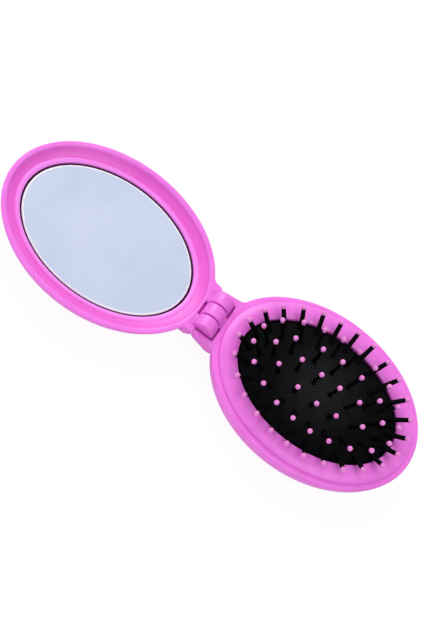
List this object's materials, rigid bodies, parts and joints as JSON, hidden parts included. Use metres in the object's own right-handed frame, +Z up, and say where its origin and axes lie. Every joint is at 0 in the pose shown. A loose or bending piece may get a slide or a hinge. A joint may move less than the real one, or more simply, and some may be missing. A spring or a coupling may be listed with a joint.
{
  "type": "folding hairbrush with mirror",
  "caption": "Oval pocket hairbrush with ball-tipped pins on a pop-up rubber pad, hinged to a matching oval lid that holds a mirror and closes over the pins.",
  "frame": {"origin": "on the surface that both backs rest on, under the middle of the hinge pin", "axes": "+X from the hinge towards the brush half, +Y along the hinge pin, +Z up out of the pad and the mirror"},
  "size_m": [0.1844, 0.0664, 0.0289],
  "materials": {
    "pink_shell": "satin moulded plastic",
    "pink_balls": "dipped gloss",
    "black_nylon": "satin nylon",
    "black_rubber": "matt rubber with a fine moulded grain",
    "steel_pin": "drawn",
    "foam_tape": "foam",
    "mirror_glass": "polished silvered glass"
  },
  "bodies": {
    "root": {"brush_case": "pink_shell", "pad_ring": "pink_shell", "pad_clamp": "black_nylon", "rubber_pad": "black_rubber", "hinge_pin": "steel_pin"},
    "lid": {"lid_shell": "pink_shell", "mirror_frame": "pink_shell", "mirror_tape": "foam_tape", "mirror_glass": "mirror_glass"},
    "crown": {"push_button": "pink_shell", "pins_row": "black_nylon", "tips_row": "pink_balls"},
    "inner_ring": {"pins_inner": "black_nylon", "tips_inner": "pink_balls"},
    "middle_ring": {"pins_middle": "black_nylon", "tips_middle": "pink_balls"},
    "outer_ring": {"pins_outer": "black_nylon", "tips_outer": "pink_balls"}
  },
  "joints": [
    {"name": "lid_hinge", "type": "hinge", "parent": "root", "child": "lid", "pos_m": [0, 0, 0.014], "axis": [0, 1, 0], "range_deg": [0, 180]},
    {"name": "crown_pop", "type": "slide", "parent": "root", "child": "crown", "axis": [0, 0, 1], "range_m": [-0.0126, 0], "deforming": ["rubber_pad"]},
    {"name": "inner_pop", "type": "slide", "parent": "root", "child": "inner_ring", "axis": [0, 0, 1], "range_m": [-0.012, 0]},
    {"name": "middle_pop", "type": "slide", "parent": "root", "child": "middle_ring", "axis": [0, 0, 1], "range_m": [-0.0096, 0]},
    {"name": "outer_pop", "type": "slide", "parent": "root", "child": "outer_ring", "axis": [0, 0, 1], "range_m": [-0.0018, 0], "deforming": ["pins_outer", "tips_outer"]}
  ],
  "couplings": [
    {"joint": "crown_pop", "follows": "lid_hinge", "m_per_rad": -0.00401},
    {"joint": "inner_pop", "follows": "lid_hinge", "m_per_rad": -0.00381},
    {"joint": "middle_pop", "follows": "lid_hinge", "m_per_rad": -0.00305},
    {"joint": "outer_pop", "follows": "lid_hinge", "m_per_rad": -0.00057}
  ]
}
